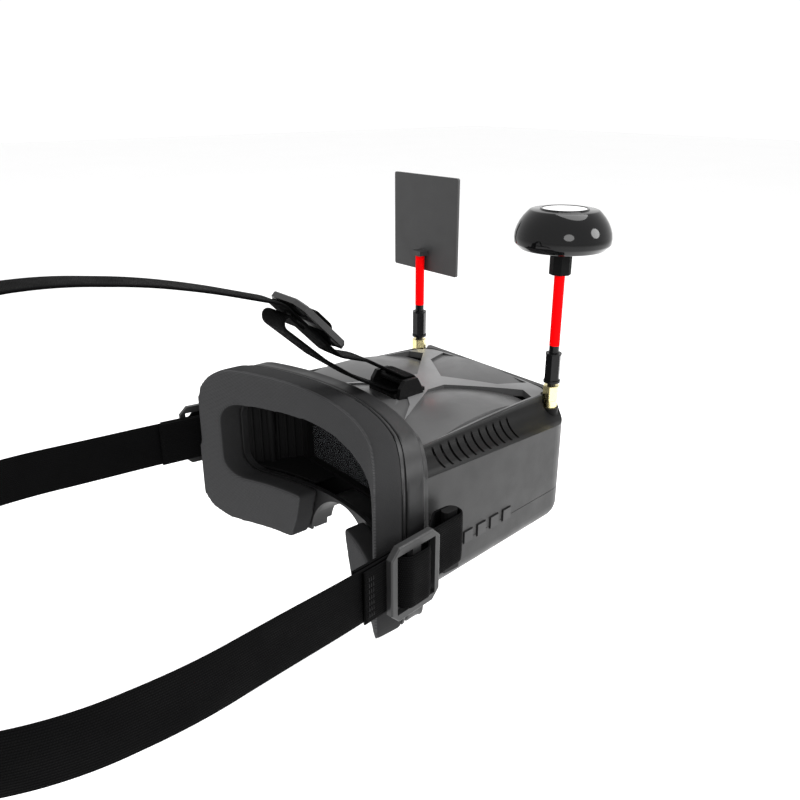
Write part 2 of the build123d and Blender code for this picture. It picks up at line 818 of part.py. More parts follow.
def strap_bight(plane, width, front, rear):
    """Webbing humped over a buckle's middle bar, from a front end to the sewn tail's rear end."""
    low = layer_gap + webbing_thick / 2
    route_points = [(front, low), (-9.8, low), (-6.2, 7.2), (6.2, 7.2), (9.8, low), (rear, low)]
    profile_plane = Plane(origin=plane.origin, x_dir=plane.x_dir, z_dir=-plane.y_dir)
    with BuildPart() as bight:
        with BuildLine(profile_plane) as line:
            FilletPolyline(*route_points, radius=[2.4, 3.4, 3.4, 2.4])
        with BuildSketch(Plane(origin=line.line @ 0, x_dir=plane.y_dir, z_dir=line.line % 0)):
            Rectangle(width, webbing_thick)
        sweep()
    return bight.part


with BuildPart() as buckle_right:
    add(strap_buckle(right_buckle_plane, 30, 36, webbing + 3))
keep(buckle_right, "buckle_right")

with BuildPart() as bight_right:
    add(strap_bight(right_buckle_plane, webbing - 0.4, -18.5, 27))
keep(bight_right, "bight_right")

with BuildPart() as buckle_top:
    add(strap_buckle(top_buckle_plane, 38, 28, top_webbing + 2.4))
keep(buckle_top, "buckle_top")

with BuildPart() as bight_top:
    add(strap_bight(top_buckle_plane, top_webbing - 0.4, -14.5, 17.5))
keep(bight_top, "bight_top")

lug_low = strap_z - webbing / 2 - 0.6
with BuildPart() as strap_lug_right:
    with Locations((83.6, 14, lug_low - 1)):
        Box(4.6, 8.0, webbing + 2.6, align=top_side)
    chamfer(strap_lug_right.edges().filter_by(Axis.Z), 1.2)
    with Locations((80, 14, lug_low - 4)):
        Box(12, 9, 4, align=top_side)
    with Locations((77.5, 15, lug_low - 9)):
        Box(4.5, 13, 9, align=top_side)
    add(outer_blank, mode=Mode.SUBTRACT)
keep(strap_lug_right, "strap_lug_right")

cheek = [(42, 33), (43.5, 40), (46.5, 44.2), (55.2, 44.2), (57.6, 40), (60, 33)]
with BuildPart() as strap_lug_top:
    with BuildSketch(Plane.YZ.offset(top_webbing / 2 + 0.6)):
        with BuildLine():
            Polyline(*cheek, close=True)
        make_face()
    extrude(amount=2.4)
    mirror(about=Plane.YZ)
    with Locations((0, 51.5, 33)):
        Box(top_webbing + 2, 21, 3.9, align=top_side)
    with Locations((0, 51.2, 41.4)):
        Box(top_webbing + 2, 7.0, 3.6)
    bar_edges = strap_lug_top.edges().filter_by(Axis.X).filter_by(lambda e: e.center().Z > 38)
    chamfer(bar_edges.filter_by(lambda e: abs(e.center().X) < 1), 1.0)
    add(top_cover.part, mode=Mode.SUBTRACT)
    with Locations((0, 50, 0)):
        Box(60, 60, cover_floor + 4.3, align=top_side, mode=Mode.SUBTRACT)
keep(strap_lug_top, "strap_lug_top")

for name in ("side_strap", "buckle", "bight", "strap_lug"):
    right = next(part for label, part in parts if label == f"{name}_right")
    with BuildPart() as left:
        add(mirror(right, about=Plane.YZ))
    keep(left, f"{name}_left")

for name, part in parts:
    export_step(part, f"parts/{name}.step")
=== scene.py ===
"""Looks for the video goggles: soft foam, moulded rubber, webbing, glossy plastic and gold."""

import json
from math import cos, pi, radians, sin, sqrt, tan

import bmesh
import bpy
import numpy as np
from mathutils import Matrix, Vector


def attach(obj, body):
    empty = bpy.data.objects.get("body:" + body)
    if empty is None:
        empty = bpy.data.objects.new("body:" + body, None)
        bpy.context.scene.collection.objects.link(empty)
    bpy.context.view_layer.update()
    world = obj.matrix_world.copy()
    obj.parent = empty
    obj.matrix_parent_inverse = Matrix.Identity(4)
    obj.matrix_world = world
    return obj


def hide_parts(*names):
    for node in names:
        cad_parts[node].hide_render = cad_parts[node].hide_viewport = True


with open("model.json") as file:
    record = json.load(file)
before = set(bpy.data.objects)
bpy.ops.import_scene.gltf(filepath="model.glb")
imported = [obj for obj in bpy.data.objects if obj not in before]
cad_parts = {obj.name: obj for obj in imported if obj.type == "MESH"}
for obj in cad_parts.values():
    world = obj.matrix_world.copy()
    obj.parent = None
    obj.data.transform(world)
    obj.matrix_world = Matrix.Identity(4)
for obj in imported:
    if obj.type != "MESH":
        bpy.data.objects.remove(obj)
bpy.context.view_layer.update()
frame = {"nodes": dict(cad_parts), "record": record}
nodes = frame["nodes"]
MM = 0.001
FACE = 132.0  # radius of the face arc, in mm, about the axis x 0, y -132


# ---------------------------------------------------------------- material helpers
class Graph:
    """One node material, with short calls for the maths inside it."""

    def __init__(self, name, color, rough, **sockets):
        self.mat = bpy.data.materials.new(name)
        self.mat.use_nodes = True
        self.tree = self.mat.node_tree
        self.bsdf = self.tree.nodes["Principled BSDF"]
        self.color, self.rough = color, rough
        self.bsdf.inputs["Base Color"].default_value = (*color, 1)
        self.bsdf.inputs["Roughness"].default_value = rough
        for key, value in sockets.items():
            self.bsdf.inputs[key.replace("_", " ")].default_value = value
        self.mat.diffuse_color = (*color, 1)
        self.place = self.add("ShaderNodeTexCoord").outputs["Object"]

    def add(self, kind, **props):
        node = self.tree.nodes.new(kind)
        for key, value in props.items():
            setattr(node, key, value)
        return node

    def feed(self, socket, value):
        if isinstance(value, bpy.types.NodeSocket):
            self.tree.links.new(value, socket)
        else:
            socket.default_value = value

    def math(self, kind, a, b=0.0, c=0.0):
        node = self.add("ShaderNodeMath", operation=kind)
        for socket, value in zip(node.inputs, (a, b, c)):
            self.feed(socket, value)
        return node.outputs[0]

    def split(self, vector):
        node = self.add("ShaderNodeSeparateXYZ")
        self.feed(node.inputs[0], vector)
        return node.outputs

    def noise(self, scale, detail=2.0, vector=None):
        node = self.add("ShaderNodeTexNoise")
        self.feed(node.inputs["Vector"], vector or self.place)
        node.inputs["Scale"].default_value = scale
        node.inputs["Detail"].default_value = detail
        return node.outputs["Fac"]

    def ramp(self, value, low, high, start=0.0, end=1.0):
        node = self.add("ShaderNodeMapRange")
        self.feed(node.inputs["Value"], value)
        for key, number in zip(("From Min", "From Max", "To Min", "To Max"), (low, high, start, end)):
            node.inputs[key].default_value = number
        return node.outputs[0]

    def squares(self, a, b):
        """a squared plus b squared."""
        return self.math("ADD", self.math("MULTIPLY", a, a), self.math("MULTIPLY", b, b))

    def tint(self, factor, dark, light):
        """Base colour between two multiples of the material's colour."""
        node = self.add("ShaderNodeMix", data_type="RGBA")
        self.feed(node.inputs["Factor"], factor)
        colors = [s for s in node.inputs if s.type == "RGBA"]
        colors[0].default_value = (*[min(1, c * dark) for c in self.color], 1)
        colors[1].default_value = (*[min(1, c * light) for c in self.color], 1)
        self.tree.links.new(node.outputs[2], self.bsdf.inputs["Base Color"])

    def gloss(self, factor, low, high):
        self.tree.links.new(self.ramp(factor, 0.3, 0.7, low, high), self.bsdf.inputs["Roughness"])

    def bump(self, height, strength, distance=0.0002):
        node = self.add("ShaderNodeBump")
        self.feed(node.inputs["Height"], height)
        node.inputs["Strength"].default_value = strength
        node.inputs["Distance"].default_value = distance
        self.tree.links.new(node.outputs[0], self.bsdf.inputs["Normal"])


def moulded(name, color, rough, grain=1600, relief=0.25, spread=0.12, **sockets):
    """Moulded part: fine surface grain, faint handling marks and slow colour drift."""
    g = Graph(name, color, rough, **sockets)
    g.tint(g.noise(38, 3), 0.86, 1.14)
    g.gloss(g.noise(95, 4), rough - spread / 2, rough + spread / 2)
    g.bump(g.noise(grain, 1), relief, 0.00008)
    return g.mat


def knit():
    """Foam cover: a fine slanted mesh on the face side, plain cut foam round the edges, darkened there
    with painted shade.
    """
    g = Graph("foam_knit", (0.037, 0.037, 0.038), 0.9, Specular_IOR_Level=0.08)
    x, y, z = g.split(g.place)
    deep = g.math("ADD", y, FACE * MM)
    radius = g.math("SQRT", g.squares(x, deep))
    around = g.math("MULTIPLY", g.math("ARCTAN2", x, deep), FACE * MM)
    pitch = 2 * pi / 0.0017
    rows = []
    for lean in (0.55, -1.6):
        along = g.math("ADD", g.math("MULTIPLY", z, lean), around)
        rows.append(g.math("SINE", g.math("MULTIPLY", along, pitch)))
    cell = g.math("MULTIPLY", rows[0], rows[1])
    front = g.ramp(radius, 0.1329, 0.1336, 1.0, 0.0)
    holes = g.math("MULTIPLY", g.ramp(cell, -0.2, 0.75), front)
    porous = g.math("MULTIPLY", g.noise(1500, 3), g.math("SUBTRACT", 1.0, front))
    # Painted shade: the side walls, where front is 0, are tinted far darker than the face side.
    shade = g.math("SUBTRACT", g.ramp(front, 0, 1, 0.18, 0.95), g.math("MULTIPLY", holes, 0.6))
    g.tint(g.math("ADD", shade, g.math("MULTIPLY", g.noise(60, 3), 0.12)), 0.15, 1.4)
    g.bump(g.math("SUBTRACT", porous, holes), 0.6, 0.0003)
    return g.mat


def woven(name, color, rib=0.0011, pick=0.0009):
    """Webbing: lengthwise ribs crossed by picks that step half a pitch from rib to rib."""
    g = Graph(name, color, 0.7, Specular_IOR_Level=0.015)
    u, v, _ = g.split(g.add("ShaderNodeUVMap", uv_map="weave").outputs[0])
    ribs = g.math("DIVIDE", v, rib)
    crown = g.math("ABSOLUTE", g.math("SINE", g.math("MULTIPLY", ribs, pi)))
    step = g.math("MULTIPLY", g.math("FLOOR", ribs), 0.5)
    picks = g.math("SINE", g.math("MULTIPLY", g.math("ADD", g.math("DIVIDE", u, pick), step), 2 * pi))
    thread = g.math("MULTIPLY", crown, g.ramp(picks, -1, 1, 0.45, 1.0))
    fuzz = g.math("MULTIPLY", g.noise(2400, 2), 0.25)
    g.tint(g.math("ADD", g.math("MULTIPLY", thread, 0.75), fuzz), 0.25, 1.6)
    g.gloss(g.noise(70, 3), 0.52, 0.72)
    g.bump(g.math("ADD", thread, fuzz), 0.75, 0.00028)
    return g.mat


def shell_plastic():
    """Moulded case: fine grain, with painted shade keeping the concave band beside the cover darker and
    less reflective.
    """
    g = Graph("shell_plastic", (0.0095, 0.0095, 0.0096), 0.42, Specular_IOR_Level=0.28)
    x, y, z = g.split(g.place)
    ledge = g.math("SUBTRACT", 0.0256, g.math("MULTIPLY", y, 0.0547))
    side = g.math("SUBTRACT", 0.0771, g.math("MULTIPLY", y, 0.096))
    edge = g.math("SUBTRACT", side, g.math("ABSOLUTE", x))
    above = g.ramp(g.math("SUBTRACT", z, ledge), -0.0003, 0.0006)
    beside = g.ramp(edge, 0.0126, 0.0132, 1.0, 0.0)
    band = g.math("MULTIPLY", above, beside)
    drift = g.math("ADD", 0.5, g.math("MULTIPLY", g.noise(38, 3), 0.3))
    # Painted shade: the concave band's colour is darkened.
    g.tint(g.math("SUBTRACT", drift, g.math("MULTIPLY", band, 0.5)), 0.3, 1.55)
    g.gloss(g.noise(95, 4), 0.36, 0.48)
    # Painted shade: the band's specular level is turned down too.
    g.feed(g.bsdf.inputs["Specular IOR Level"], g.ramp(band, 0, 1, 0.28, 0.08))
    g.bump(g.noise(1600, 1), 0.3, 0.00008)
    return g.mat


def plated():
    """Pale gold plating with fine turning marks and faint tarnish."""
    g = Graph("gold_plate", (0.86, 0.76, 0.40), 0.24, Metallic=1.0)
    z = g.split(g.place)[2]
    g.tint(g.noise(420, 3), 0.78, 1.08)
    g.gloss(g.noise(600, 4), 0.18, 0.34)
    g.bump(g.math("SINE", g.math("MULTIPLY", z, 2 * pi / 0.00035)), 0.05, 0.00003)
    return g.mat


def star_cover():
    """Top cover: satin panels, with a painted highlight making the upward-facing star plate between
    them lighter.
    """
    g = Graph("cover_plastic", (0.045, 0.045, 0.0454), 0.34, Specular_IOR_Level=0.3)
    x, y, z = g.split(g.place)
    ahead = g.math("SUBTRACT", y, 0.070)
    spread = g.squares(x, ahead)
    crown = g.math("SUBTRACT", 0.035, g.math("DIVIDE", spread, 1.8))
    off = g.math("ABSOLUTE", g.math("SUBTRACT", z, crown))
    level = g.ramp(g.split(g.add("ShaderNodeTexCoord").outputs["Normal"])[2], 0.9935, 0.9965)
    # The panels' flanks and the front panel pass through the star's height too, so both are left out.
    aside = g.math("ABSOLUTE", x)
    beyond = g.math("GREATER_THAN", y, g.math("MULTIPLY_ADD", aside, 0.607, 0.0845))
    front_panel = g.math("MULTIPLY", beyond, g.math("LESS_THAN", aside, 0.028))
    # Painted highlight: the level star plate, facing up towards the lamps, is tinted lighter than the
    # panels.
    star = g.math("MULTIPLY", g.ramp(off, 0.00004, 0.00009, 1.0, 0.0), level)
    star = g.math("MULTIPLY", star, g.math("SUBTRACT", 1.0, front_panel))
    shade = g.math("ADD", g.math("MULTIPLY", star, 0.62), g.math("MULTIPLY", g.noise(38, 3), 0.3))
    g.tint(shade, 0.8, 2.9)
    g.gloss(g.noise(95, 4), 0.28, 0.40)
    g.bump(g.noise(1600, 1), 0.16, 0.00008)
    return g.mat


def grooved_lens():
    """Magnifier sheet: clear plastic with fine round grooves about each eye."""
    g = Graph("lens_sheet", (0.20, 0.21, 0.22), 0.12, Transmission_Weight=0.9, IOR=1.49,
              Specular_IOR_Level=0.15)
    x, _, z = g.split(g.place)
    side = g.math("SUBTRACT", g.math("ABSOLUTE", x), 0.031)
    height = g.math("SUBTRACT", z, 0.002)
    ring = g.math("SQRT", g.squares(side, height))
    g.bump(g.math("FRACT", g.math("MULTIPLY", ring, 2400)), 0.01, 0.00005)
    return g.mat


def board():
    """Circuit board: green mask over straight tracks and round pads."""
    g = Graph("board", (0.012, 0.10, 0.045), 0.32, Coat_Weight=0.3)
    cells = g.add("ShaderNodeTexVoronoi", distance="MANHATTAN")
    g.feed(cells.inputs["Vector"], g.place)
    cells.inputs["Scale"].default_value = 420
    g.tint(g.ramp(cells.outputs["Distance"], 0.25, 0.32), 2.0, 0.8)
    g.bump(cells.outputs["Distance"], 0.1)
    return g.mat


def glossy(name, color, rough, ripple):
    """Polished moulding with faint flow ripples under a clear coat."""
    g = Graph(name, color, rough, Specular_IOR_Level=0.15, Coat_Weight=0.12, Coat_Roughness=0.03)
    g.tint(g.noise(30, 2), 0.8, 1.2)
    g.gloss(g.noise(160, 3), rough * 0.7, rough * 1.5)
    g.bump(g.noise(70, 1), ripple, 0.0002)
    return g.mat


webbing = woven("webbing", (0.0022, 0.0022, 0.0023))
shell = shell_plastic()
cover = star_cover()
inner = moulded("inner_plastic", (0.003, 0.003, 0.0031), 0.7, Specular_IOR_Level=0.08)
rubber = moulded("flange_rubber", (0.0065, 0.0065, 0.0068), 0.5, grain=2600, relief=0.15,
                 Specular_IOR_Level=0.3)
buckle = moulded("buckle_plastic", (0.013, 0.013, 0.0133), 0.38, relief=0.2, Specular_IOR_Level=0.3)
button = moulded("button_plastic", (0.013, 0.013, 0.0133), 0.36, relief=0.12, Specular_IOR_Level=0.3)
lug = moulded("lug_plastic", (0.0035, 0.0035, 0.0036), 0.45, relief=0.15, Specular_IOR_Level=0.12)
sleeve = moulded("sleeve_plastic", (0.003, 0.003, 0.0033), 0.28, grain=900, relief=0.1,
                 Specular_IOR_Level=0.2)
patch = moulded("patch_plastic", (0.030, 0.030, 0.0305), 0.5, relief=0.2, Specular_IOR_Level=0.35)
jack = moulded("jack_plastic", (0.012, 0.012, 0.012), 0.35)
red = moulded("stem_sleeve", (0.93, 0.0008, 0.002), 0.5, grain=700, relief=0.06, spread=0.06,
              Specular_IOR_Level=0.02)
gold, lens, green = plated(), grooved_lens(), board()
dome_gloss = glossy("dome_gloss", (0.003, 0.003, 0.0032), 0.07, 0.03)
screen = glossy("screen_glass", (0.004, 0.004, 0.006), 0.05, 0.0)
plug_gloss = glossy("plug_gloss", (0.60, 0.60, 0.60), 0.12, 0.02)
wrap = glossy("cell_wrap", (0.02, 0.06, 0.20), 0.2, 0.1)
tin = moulded("tinned_can", (0.6, 0.6, 0.6), 0.3, Metallic=1.0)
steel = moulded("screw_steel", (0.5, 0.5, 0.51), 0.3, Metallic=1.0)
foam_knit = knit()

SLOTS = {
    "red_rubber": red, "cell_wrap": wrap, "inner_plastic": inner, "webbing": webbing,
    "buckle_plastic": buckle, "button_plastic": button, "board": green, "steel": steel,
    "gold": gold, "sleeve_black": sleeve, "screen": screen, "flange_rubber": rubber,
    "foam": foam_knit, "lens": lens, "shell": shell, "dome_gloss": dome_gloss,
    "plug_grey": plug_gloss, "patch_black": patch, "jack_black": jack, "rear_fabric": webbing,
    "receiver_can": tin, "cover": cover,
}
for entry in frame["record"]["subparts"]:
    cad = nodes[entry["node"]]
    for place in cad.material_slots:
        place.material = SLOTS[entry["material_slot"]]
for side in ("left", "right", "top"):
    for place in nodes[f"strap_lug_{side}"].material_slots:
        place.material = lug


# ---------------------------------------------------------------- mesh helpers
def piece(name, points, faces, material, body="goggles", uvs=None):
    """New object from points in mm. uvs gives, in metres, one (u, v) per face corner."""
    mesh = bpy.data.meshes.new(name)
    mesh.from_pydata([tuple(MM * c for c in p) for p in points], [], faces)
    if uvs is not None:
        layer = mesh.uv_layers.new(name="weave")
        layer.data.foreach_set("uv", np.array(uvs, dtype=np.float32).ravel())
    mesh.materials.append(material)
    mesh.validate()
    mesh.polygons.foreach_set("use_smooth", [True] * len(mesh.polygons))
    ob = bpy.data.objects.new(name, mesh)
    bpy.context.scene.collection.objects.link(ob)
    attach(ob, body)
    return ob


def grid_faces(rows, cols, wrap_rows=False, wrap_cols=True):
    """Quads over a rows by cols lattice of points."""
    faces = []
    for i in range(rows if wrap_rows else rows - 1):
        for j in range(cols if wrap_cols else cols - 1):
            a, b = i * cols + j, i * cols + (j + 1) % cols
            c, d = (i + 1) % rows * cols + (j + 1) % cols, (i + 1) % rows * cols + j
            faces.append((a, b, c, d))
    return faces


def on_face(x, z, radius):
    """Point above (x, z) on the upright cylinder of that radius about the face axis."""
    return (x, sqrt(radius**2 - x**2) - FACE, z)


def turned(arm, angle):
    """2-D vector turned anticlockwise."""
    return Vector((arm.x * cos(angle) - arm.y * sin(angle), arm.x * sin(angle) + arm.y * cos(angle)))


def rounded(corners, radii, grow, arc=14, run=12):
    """Closed outline with round corners, grow mm larger. A corner of radius 0 is one point."""
    bends = []
    count = len(corners)
    for i in range(count):
        before, corner, after = (Vector(corners[(i + k) % count]) for k in (-1, 0, 1))
        into, out = (corner - before).normalized(), (after - corner).normalized()
        half = into.angle(out) / 2
        side = Vector((into.y, -into.x))
        centre = corner - into * radii[i] * tan(half) - side * radii[i]
        steps = arc if radii[i] else 0
        bend = []
        for k in range(steps + 1):
            angle = 2 * half * k / max(steps, 1)
            bend.append(centre + turned(side, angle) * (radii[i] + grow))
        bends.append(bend)
    full = []
    for i, bend in enumerate(bends):
        here, there = bend[-1], bends[(i + 1) % count][0]
        full += bend + [here.lerp(there, k / run) for k in range(1, run)]
    return full


# ---------------------------------------------------------------- rubber lip round the foam
NOSE_HALF, RUN, END_RISE = 28.1, 12, 3
OUTLINE = [(NOSE_HALF, -52), (84.5, -52), (81.5, 44), (-81.5, 44), (-84.5, -52), (-NOSE_HALF, -52)]
LIP = [
    (-2.3, 144.9), (-0.95, 145.0), (-0.6, 145.35), (-0.55, 145.9), (-0.8, 146.45), (-1.7, 146.7),
    (-2.25, 146.9), (-2.1, 147.15), (-1.5, 147.35), (-1.1, 147.9), (-1.15, 149), (-1.4, 151.2),
    (-1.45, 153.2), (-1.15, 154.6), (-0.95, 155.2), (-1.1, 155.7), (-2.2, 156.1), (-4.4, 156.5),
    (-5.2, 157.2), (-5.35, 158.7), (-6.6, 159.3), (-10.5, 159.7),
]
rings = []
for grow, radius in LIP:
    edge = rounded(OUTLINE, [0, 20, 22, 22, 20, 0], grow, run=RUN)
    edge = edge[:1 - RUN]  # without the run that would close it across the nose
    edge[0].y, edge[-1].y = edge[0].y + END_RISE, edge[-1].y + END_RISE
    rings += [on_face(p.x, p.y, radius) for p in edge]
across = len(rings) // len(LIP)
lip = piece("face_lip", rings, grid_faces(len(LIP), across, wrap_cols=False), rubber)


# ---------------------------------------------------------------- foam
SMOOTHING_PASSES, CLOTH_FRAMES = 11, 14
HELD_RADIUS = 0.1425  # metres from the face axis; the foam beyond it is the firm back


def soft_copy(node, name, voxel, pressure, cap):
    """Copy of a CAD solid, remeshed, with its face side swollen as cloth round a firm back."""
    mesh = nodes[node].data.copy()
    ob = bpy.data.objects.new(name, mesh)
    bpy.context.scene.collection.objects.link(ob)
    remesh = ob.modifiers.new("remesh", "REMESH")
    remesh.mode, remesh.voxel_size = "VOXEL", voxel
    bake(ob)
    bm = bmesh.new()
    bm.from_mesh(ob.data)
    for _ in range(SMOOTHING_PASSES):
        bmesh.ops.smooth_vert(bm, verts=bm.verts, factor=0.5,
                              use_axis_x=True, use_axis_y=True, use_axis_z=True)
    bm.to_mesh(ob.data)
    bm.free()
    start = coords(ob)
    radius = np.hypot(start[:, 0], start[:, 1] + FACE * MM)
    group = ob.vertex_groups.new(name="held")
    for i in np.flatnonzero(radius > HELD_RADIUS):
        group.add([int(i)], 1.0, "REPLACE")
    cloth = ob.modifiers.new("cloth", "CLOTH")
    cloth.settings.vertex_group_mass = "held"
    cloth.settings.use_pressure = True
    cloth.settings.uniform_pressure_force = pressure
    cloth.settings.tension_stiffness = cloth.settings.compression_stiffness = 30
    cloth.settings.bending_stiffness = 4
    cloth.settings.effector_weights.gravity = 0
    cloth.collision_settings.use_collision = False
    for number in range(1, CLOTH_FRAMES + 1):
        bpy.context.scene.frame_set(number)
    bake(ob)
    bpy.context.scene.frame_set(1)
    moved = coords(ob) - start
    far = np.linalg.norm(moved, axis=1)
    moved *= np.minimum(1, cap / np.maximum(far, 1e-9))[:, None]
    ob.data.vertices.foreach_set("co", (start + moved).astype(np.float32).ravel())
    ob.data.update()
    ob.vertex_groups.clear()
    return ob


def bake(ob):
    """Apply every modifier."""
    solid = bpy.data.meshes.new_from_object(ob.evaluated_get(bpy.context.evaluated_depsgraph_get()))
    ob.modifiers.clear()
    ob.data = solid


def coords(ob):
    """Vertex positions as an array."""
    flat = np.empty(len(ob.data.vertices) * 3, dtype=np.float32)
    ob.data.vertices.foreach_get("co", flat)
    return flat.reshape(-1, 3).astype(float)


foam = soft_copy("face_foam", "foam_seal", 0.001, 1.6, 0.0012)
foam.data.materials.clear()
foam.data.materials.append(foam_knit)
foam.data.polygons.foreach_set("use_smooth", [True] * len(foam.data.polygons))
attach(foam, "goggles")
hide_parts("face_foam")


# ---------------------------------------------------------------- webbing
def route(points, radii, step=1.6):
    """Points along a 2-D route with round corners, evenly spaced, in mm."""
    line = [Vector(points[0])]
    for before, corner, after, radius in zip(points, points[1:], points[2:], radii):
        before, corner, after = Vector(before), Vector(corner), Vector(after)
        into, out = (corner - before).normalized(), (after - corner).normalized()
        turn = into.angle(out)
        if turn < 0.002:
            line.append(corner)
            continue
        reach = radius * tan(turn / 2)
        start, sign = corner - into * reach, 1 if into.cross(out) > 0 else -1
        centre = start + Vector((-into.y, into.x)) * radius * sign
        spoke = start - centre
        count = max(3, int(radius * turn / step) + 1, int(turn / 0.2))
        for k in range(count + 1):
            angle = sign * turn * k / count
            line.append(centre + turned(spoke, angle))
    line.append(Vector(points[-1]))
    full = [line[0]]
    for a, b in zip(line, line[1:]):
        count = max(1, round((b - a).length / (2 * step)))
        full += [a.lerp(b, (k + 1) / count) for k in range(count)]
    return [p for i, p in enumerate(full) if i == 0 or (p - full[i - 1]).length > 0.02]


def soft_radii(points):
    """Corner radius as large as the two runs at each corner allow."""
    radii = []
    for before, corner, after in zip(points, points[1:], points[2:]):
        into, out = Vector(corner) - Vector(before), Vector(after) - Vector(corner)
        turn = max(into.angle(out), radians(0.5))
        radii.append(0.45 * min(into.length, out.length) / tan(turn / 2))
    return radii


def ribbon(name, line, width, thick, place, body, material=webbing):
    """Webbing with round selvedges along a 2-D line. place(p, normal, out, across) puts a point."""
    section = []
    for k in range(28):
        angle = 2 * pi * (k + 0.5) / 28
        c, s = cos(angle), sin(angle)
        across = width / 2 * abs(c) ** 0.35 * (1 if c > 0 else -1)
        section.append((across, thick / 2 * abs(s) ** 0.5 * (1 if s > 0 else -1)))
    points, travelled, total = [], [0.0], 0.0
    for i, p in enumerate(line):
        ahead, behind = line[min(i + 1, len(line) - 1)], line[max(i - 1, 0)]
        along = (ahead - behind).normalized()
        normal = Vector((-along.y, along.x))
        for across, out in section:
            points.append(place(p, normal, out, across))
        if i:
            total += (p - line[i - 1]).length
            travelled.append(total)
    count = len(section)
    faces = grid_faces(len(line), count)
    uvs = []
    for i in range(len(line) - 1):
        for j in range(count):
            for row, col in ((i, j), (i, j + 1), (i + 1, j + 1), (i + 1, j)):
                uvs.append((travelled[row] * MM, section[col % count][0] * MM))
    for ring in (list(range(count))[::-1], [(len(line) - 1) * count + k for k in range(count)]):
        faces.append(tuple(ring))
        uvs += [(0, 0)] * count
    return piece(name, points, faces, material, body, uvs)


STRAP_Z, WEB, TOP_WEB, THICK, GAP = -3.7, 25.5, 20.0, 1.6, 0.35
run_angle = radians(97)
run_u = Vector((-cos(run_angle), -sin(run_angle)))
run_n = Vector((-run_u.y, run_u.x))


def on_run(distance, outward=0.0):
    """Plan point on the right strap's straight run."""
    return tuple(Vector((90.3, -2.0)) + run_u * distance + run_n * outward)


side_points = [
    on_run(46, -THICK - GAP), on_run(0.5, -THICK - GAP), (79.2, 8.5), (79.2, 19.6), on_run(-21.7),
    on_run(54), (99.6, -86), (103.6, -122), (101, -163), (84, -203), (52, -227), (22, -236), (0, -236),
]
side_line = route(side_points, [7, 5, 3.9, 3.9] + soft_radii(side_points)[4:])
for side, name in ((1, "right"), (-1, "left")):
    def lay(p, normal, out, across, side=side):
        return (side * (p.x + normal.x * out), p.y + normal.y * out, STRAP_Z + across)
    strap = ribbon(f"webbing_{name}", side_line, WEB, THICK, lay, "goggles")
    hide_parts(f"side_strap_{name}")

rise = radians(46)
top_u, top_n = Vector((-cos(rise), sin(rise))), Vector((sin(rise), cos(rise)))


def on_top(distance, outward=0.0):
    """Point (y, z) on the top strap's straight run."""
    return tuple(Vector((-6.5, 80.5)) + top_u * distance + top_n * outward)


top_points = [
    on_top(6, -2.2), on_top(20, -2.6), on_top(15, -8.5), (0, 64.5), (20, 50), (42, 38.2), (57, 38.2),
    (57, 44.4), (49.5, 44.6), (26.2, 58.7), on_top(-22), on_top(22), (-57, 107.6), (-84, 114.4),
    (-118, 119.6), (-145, 120), (-183, 106), (-215, 79), (-234, 43), (-237.9, 12), (-237.9, -18),
]
top_radii = [2.4, 4.4, 30, 30, 20, 3.05, 3.05, 8, 20, 10, 14] + soft_radii(top_points)[11:-1] + [30]
top_line = route(top_points, top_radii)


def lay_top(p, normal, out, across):
    """Place a point of the top strap."""
    return (across, p.x + normal.x * out, p.y + normal.y * out)


strap = ribbon("webbing_top", top_line, TOP_WEB, THICK, lay_top, "goggles")
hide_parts("top_strap")


# ---------------------------------------------------------------- stitching
STITCH_PITCH, THREAD_SIDES = 2.6, 6


def stitches(name, rows, body):
    """Threads sunk in cloth. rows holds (start, end, outward) in mm, one row of stitches each."""
    points, faces = [], []
    for start, end, out in rows:
        start, end, out = Vector(start), Vector(end), Vector(out).normalized()
        along = (end - start).normalized()
        side = along.cross(out)
        count = max(1, int((end - start).length / STITCH_PITCH))
        for k in range(count):
            middle = start.lerp(end, (k + 0.5) / count)
            for u, h in ((-1.05, -0.1), (-0.6, 0.16), (0.6, 0.16), (1.05, -0.1)):
                base = len(points)
                for a in range(THREAD_SIDES):
                    swell = 0.24 if abs(u) < 1 else 0.14
                    angle = 2 * pi * a / THREAD_SIDES
                    across, lift = cos(angle) * swell, h + sin(angle) * swell
                    points.append(middle + along * u + side * across + out * lift)
                if u > -1:
                    last = base - THREAD_SIDES
                    pairs = [(a, (a + 1) % THREAD_SIDES) for a in range(THREAD_SIDES)]
                    faces += [(last + a, last + b, base + b, base + a) for a, b in pairs]
    thread = moulded(f"{name}_thread", (0.008, 0.008, 0.0084), 0.6, grain=4000, relief=0.3,
                     Specular_IOR_Level=0.1)
    return piece(name, points, faces, thread, body)


def box_stitch(centre, u, v, out, width, height):
    """Rows of a sewn box with a cross in it."""
    centre, u, v = Vector(centre), Vector(u) * width / 2, Vector(v) * height / 2
    a, b, c, d = centre - u - v, centre + u - v, centre + u + v, centre - u + v
    return [(p, q, out) for p, q in ((a, b), (b, c), (c, d), (d, a), (a, c), (b, d))]


rear_y = -240.55
rows = box_stitch((0, rear_y, STRAP_Z), (1, 0, 0), (0, 0, 1), (0, -1, 0), 27, 27)
rows += [((x, rear_y, -19.5), (x, rear_y, 12.1), (0, -1, 0)) for x in (-15.6, 15.6)]
rows += [((-14, rear_y, z), (14, rear_y, z), (0, -1, 0)) for z in (-19.4, 12.0)]
stitches("rear_stitching", rows, "goggles")

